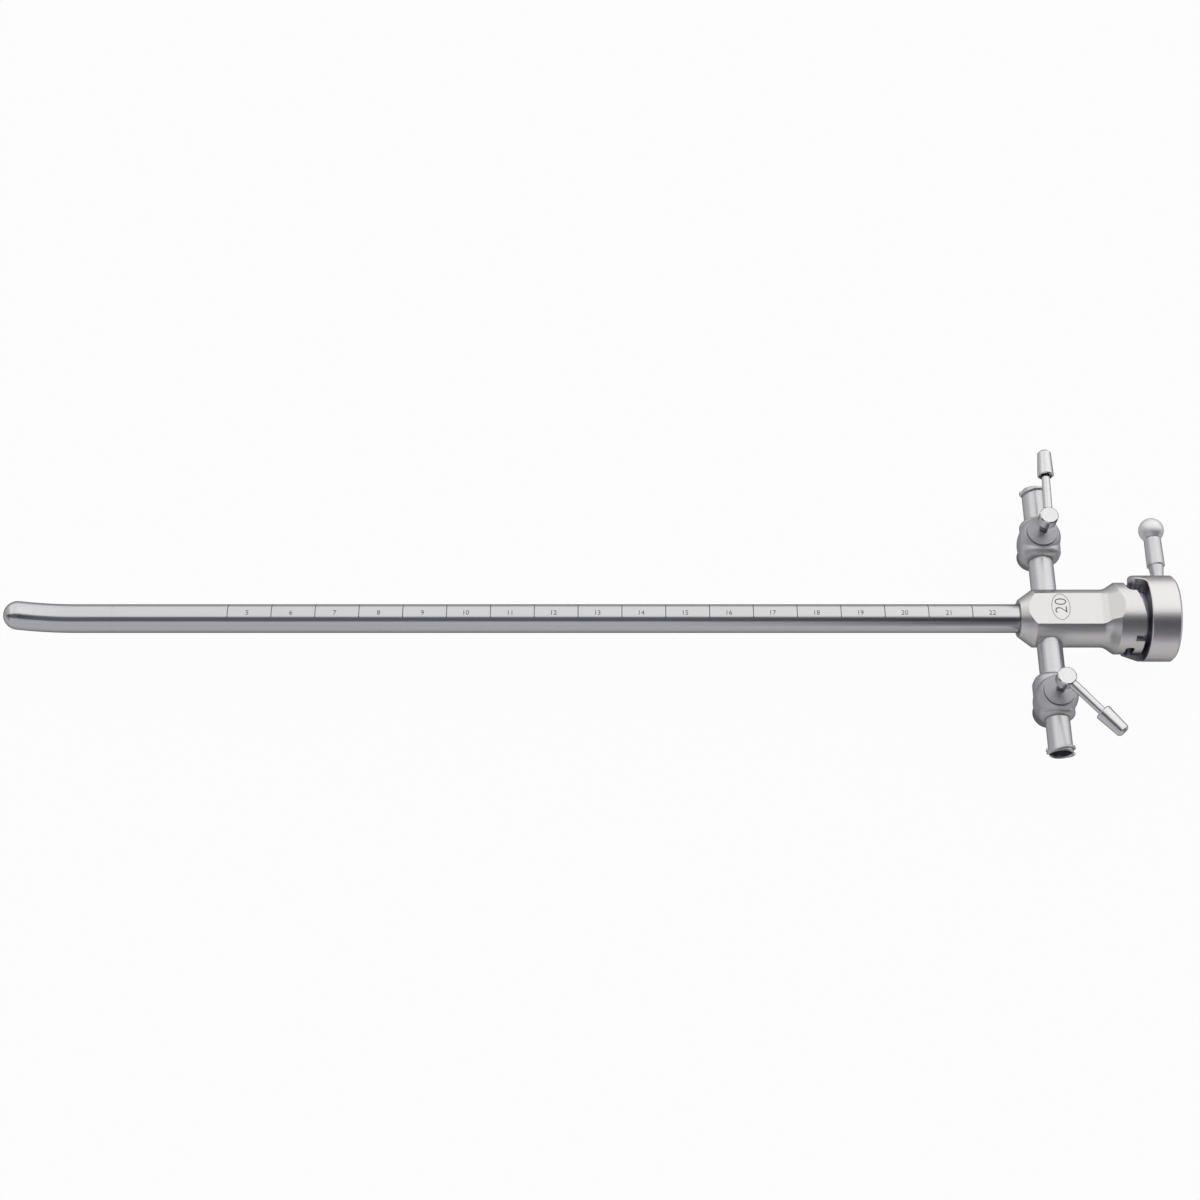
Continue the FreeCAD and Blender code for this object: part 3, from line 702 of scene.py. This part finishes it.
def make_size_oval(marks):
    rims = []
    for inset in (0, oval_stroke):
        rim = []
        for step in range(oval_steps):
            turn = 2 * math.pi * step / oval_steps
            x = oval_x + (oval_width / 2 - inset) * math.cos(turn)
            y = oval_y + (oval_length / 2 - inset) * math.sin(turn)
            rim.append(marks.verts.new((x, y, flat_height + mark_lift)))
        rims.append(rim)
    outer, inner = rims
    for i in range(oval_steps):
        j = (i + 1) % oval_steps
        marks.faces.new([outer[i], outer[j], inner[j], inner[i]])


def make_size_number(marks):
    flat = text_outline(size_text, size_text_height, size_text_thinning)
    middle = Vector((oval_x, oval_y + size_text_shift, flat_height + mark_lift))
    copy_faces(marks, flat, lambda co: middle + Vector((-co.y, co.x, 0)))
    flat.free()


def add_markings():
    dark_oxide = laser_mark("laser_annealed_oxide_dark", "#2C2C32", "#46464C")
    pale_oxide = laser_mark("laser_annealed_oxide_pale", "#6E6E70", "#868688")
    add_mark("scale_ticks", make_ticks, dark_oxide)
    add_mark("scale_numbers", make_numbers, dark_oxide)
    add_mark("size_oval", make_size_oval, pale_oxide)
    add_mark("size_number", make_size_number, pale_oxide)


# Floor, light and camera


def whitened(tree, lit):
    """Mixes a lit surface with plain white where the camera, or metal, sees it."""
    path = add(tree, "ShaderNodeLightPath")
    mirrored = add(tree, "ShaderNodeMath", {"operation": "MAXIMUM"})
    tree.links.new(path.outputs["Is Glossy Ray"], mirrored.inputs[0])
    tree.links.new(path.outputs["Is Transmission Ray"], mirrored.inputs[1])
    weak = add(tree, "ShaderNodeMath", {"operation": "MULTIPLY"})
    tree.links.new(mirrored.outputs[0], weak.inputs[0])
    weak.inputs[1].default_value = share_mirrored
    strong = add(tree, "ShaderNodeMath", {"operation": "MULTIPLY"})
    tree.links.new(path.outputs["Is Camera Ray"], strong.inputs[0])
    strong.inputs[1].default_value = share_seen
    share = add(tree, "ShaderNodeMath", {"operation": "ADD"})
    tree.links.new(weak.outputs[0], share.inputs[0])
    tree.links.new(strong.outputs[0], share.inputs[1])
    white = add(tree, "ShaderNodeEmission", {"Strength": 1.0})
    mixed = add(tree, "ShaderNodeMixShader", links={"Fac": share.outputs[0]})
    tree.links.new(lit, mixed.inputs[1])
    tree.links.new(white.outputs[0], mixed.inputs[2])
    return mixed.outputs[0]


def add_floor():
    """A plain white table top that keeps the sheath's soft shadow."""
    material, tree = new_material("white_table_top")
    paint = add(tree, "ShaderNodeBsdfDiffuse", {"Color": linear("#E0E0E0")})
    surface = whitened(tree, paint.outputs[0])
    add(tree, "ShaderNodeOutputMaterial", links={"Surface": surface})
    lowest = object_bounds()[0].z
    corners = [(-1, -1), (1, -1), (1, 1), (-1, 1)]
    points = [(x * floor_half_side, y * floor_half_side, lowest) for x, y in corners]
    mesh = bpy.data.meshes.new("table_top")
    mesh.from_pydata(points, [], [(0, 1, 2, 3)])
    mesh.materials.append(material)
    floor = bpy.data.objects.new("table_top", mesh)
    bpy.context.scene.collection.objects.link(floor)


# The studio as light comes from it. The angle is counted round the sheath's length, from
# overhead towards the back; one list is for the tip's end of the room and one for the ring's.
# A wide soft light hangs overhead and behind, a dark place is in front of it, wider at the
# ring's end, and the front of the room is grey. The levels are fitted to the steel's
# tones in the photograph. How the real studio was lit isn't known.
light_at_tip_end = [
    (-180.0, 0.3),
    (-131.0, 0.56),
    (-52.0, 0.64),
    (-46.0, 0.15),
    (-16.0, 0.15),
    (-6.0, 1.0),
    (112.0, 1.0),
    (150.0, 0.45),
    (180.0, 0.3),
]
light_at_ring_end = [
    (-180.0, 0.3),
    (-131.0, 0.36),
    (-88.0, 0.4),
    (-66.0, 0.05),
    (-19.0, 0.05),
    (-2.0, 1.08),
    (112.0, 1.08),
    (150.0, 0.5),
    (180.0, 0.3),
]
# How bright the room is along its length, from the tip's end to the ring's.
light_along_room = [
    (-1.0, 0.5),
    (-0.82, 0.62),
    (-0.66, 1.08),
    (-0.3, 0.94),
    (0.0, 1.0),
    (0.6, 1.06),
    (1.0, 0.9),
]
ring_end_starts = 0.02
ring_end_whole = 0.24
# The light overhead is neutral, and what comes from the room's sides and front a little cool.
tint_overhead = "#FFFFFF"
tint_around = "#F5F5FF"
tint_stops = [
    (-180.0, 0.0),
    (-25.0, 0.0),
    (0.0, 1.0),
    (110.0, 1.0),
    (150.0, 0.0),
    (180.0, 0.0),
]


def light_ramp(tree, value, stops):
    """Grey levels looked up by a value, from (value, level) stops."""
    low, high = stops[0][0], stops[-1][0]
    share = add(tree, "ShaderNodeMapRange", {"From Min": low, "From Max": high}, {"Value": value})
    ramp = add(tree, "ShaderNodeValToRGB", links={"Fac": share.outputs["Result"]})
    elements = ramp.color_ramp.elements
    for place, level in stops[1:-1]:
        elements.new((place - low) / (high - low)).color = (level, level, level, 1)
    for element, (place, level) in ((elements[0], stops[0]), (elements[-1], stops[-1])):
        element.color = (level, level, level, 1)
    return ramp.outputs["Color"]


def add_studio_light():
    """Soft light all round from the world, white where the camera looks past the floor."""
    world = bpy.data.worlds.new("soft_studio")
    world.use_nodes = True
    tree = world.node_tree
    tree.nodes.clear()
    place = add(tree, "ShaderNodeTexCoord")
    split = add(tree, "ShaderNodeSeparateXYZ", links={"Vector": place.outputs["Generated"]})
    turn = add(tree, "ShaderNodeMath", {"operation": "ARCTAN2"})
    tree.links.new(split.outputs["Y"], turn.inputs[0])
    tree.links.new(split.outputs["Z"], turn.inputs[1])
    degrees = add(tree, "ShaderNodeMath", {"operation": "DEGREES"})
    tree.links.new(turn.outputs[0], degrees.inputs[0])
    ring_end = add(
        tree,
        "ShaderNodeMapRange",
        {
            "interpolation_type": "SMOOTHSTEP",
            "From Min": ring_end_starts,
            "From Max": ring_end_whole,
        },
        {"Value": split.outputs["X"]},
    )
    bands = add(
        tree,
        "ShaderNodeMixRGB",
        {"blend_type": "MIX"},
        {
            "Fac": ring_end.outputs["Result"],
            "Color1": light_ramp(tree, degrees.outputs[0], light_at_tip_end),
            "Color2": light_ramp(tree, degrees.outputs[0], light_at_ring_end),
        },
    )
    room = add(
        tree,
        "ShaderNodeMixRGB",
        {"blend_type": "MULTIPLY", "Fac": 1.0},
        {
            "Color1": bands.outputs["Color"],
            "Color2": light_ramp(tree, split.outputs["X"], light_along_room),
        },
    )
    tint = add(
        tree,
        "ShaderNodeMixRGB",
        {"blend_type": "MIX", "Color1": linear(tint_around), "Color2": linear(tint_overhead)},
        {"Fac": light_ramp(tree, degrees.outputs[0], tint_stops)},
    )
    tinted_room = add(
        tree,
        "ShaderNodeMixRGB",
        {"blend_type": "MULTIPLY", "Fac": 1.0},
        {"Color1": room.outputs["Color"], "Color2": tint.outputs["Color"]},
    )
    path = add(tree, "ShaderNodeLightPath")
    seen = add(
        tree,
        "ShaderNodeMixRGB",
        {"blend_type": "MIX", "Color2": (1, 1, 1, 1)},
        {"Fac": path.outputs["Is Camera Ray"], "Color1": tinted_room.outputs["Color"]},
    )
    sky = add(tree, "ShaderNodeBackground", {"Strength": 1.0}, {"Color": seen.outputs["Color"]})
    add(tree, "ShaderNodeOutputWorld", links={"Surface": sky.outputs[0]})
    bpy.context.scene.world = world


def add_camera():
    data = bpy.data.cameras.new("camera")
    data.lens = lens_length
    data.sensor_width = sensor_width
    data.sensor_fit = "HORIZONTAL"
    data.clip_start = 1 * MM
    data.clip_end = view_end
    camera = bpy.data.objects.new("camera", data)
    tilt = math.radians(90 - camera_elevation)
    towards = Vector((0, -math.sin(tilt), math.cos(tilt)))
    camera.location = camera_aim + towards * camera_distance
    camera.rotation_euler = (tilt, 0, 0)
    bpy.context.scene.collection.objects.link(camera)
    bpy.context.scene.camera = camera


dress_frame()
add_markings()
add_floor()
add_studio_light()
add_camera()
bpy.context.scene.view_settings.view_transform = "Standard"
